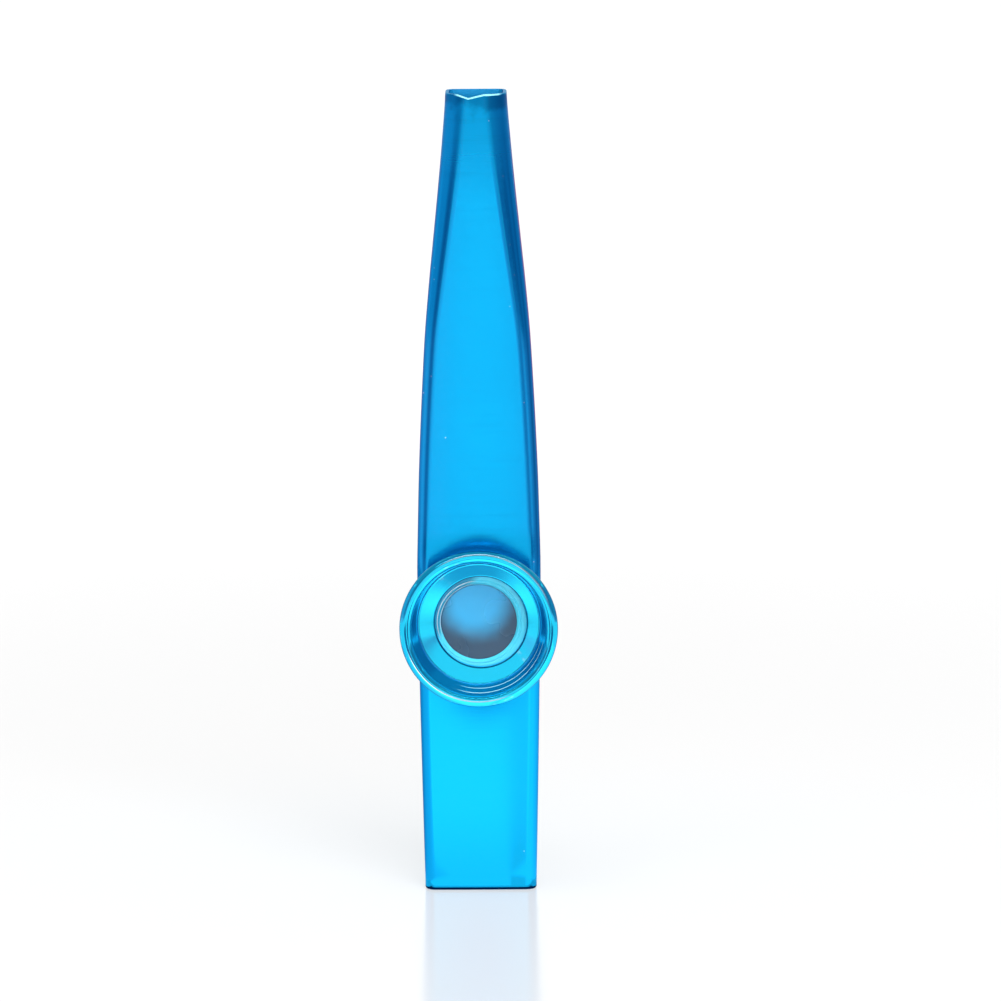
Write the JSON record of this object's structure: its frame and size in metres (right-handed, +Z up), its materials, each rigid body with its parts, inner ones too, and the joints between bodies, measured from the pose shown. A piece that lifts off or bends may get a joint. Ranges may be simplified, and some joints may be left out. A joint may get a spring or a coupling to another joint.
{
  "type": "kazoo",
  "caption": "Metal kazoo: a tapering flattened tube with a round turret, whose flared screw cap holds a thin film between clear rings.",
  "frame": {"origin": "centre of the mouth end's rim, on the plane that it stands on", "axes": "+Z up along the tube to its narrow end, -Y out of the turret towards the viewer, +X to the viewer's right"},
  "size_m": [0.0234, 0.023, 0.12],
  "materials": {
    "blue_anodised": "satin anodised",
    "clear_plastic": "clear moulded",
    "membrane_film": "thin translucent film"
  },
  "bodies": {
    "root": {"body_tube": "blue_anodised", "turret_collar": "blue_anodised"},
    "membrane": {"membrane_ring": "clear_plastic", "membrane_film": "membrane_film", "membrane_hoop": "clear_plastic"},
    "cap": {"screw_cap": "blue_anodised"}
  },
  "joints": [
    {"name": "cap_climb", "type": "slide", "parent": "root", "child": "membrane", "axis": [0, -1, 0], "range_m": [0, 0.00187]},
    {"name": "cap_turn", "type": "hinge", "parent": "membrane", "child": "cap", "pos_m": [0, -0.0096, 0.0418], "axis": [0, -1, 0], "range_deg": [0, 900]}
  ],
  "couplings": [
    {"joint": "cap_climb", "follows": "cap_turn", "m_per_rad": 0.00011937}
  ]
}
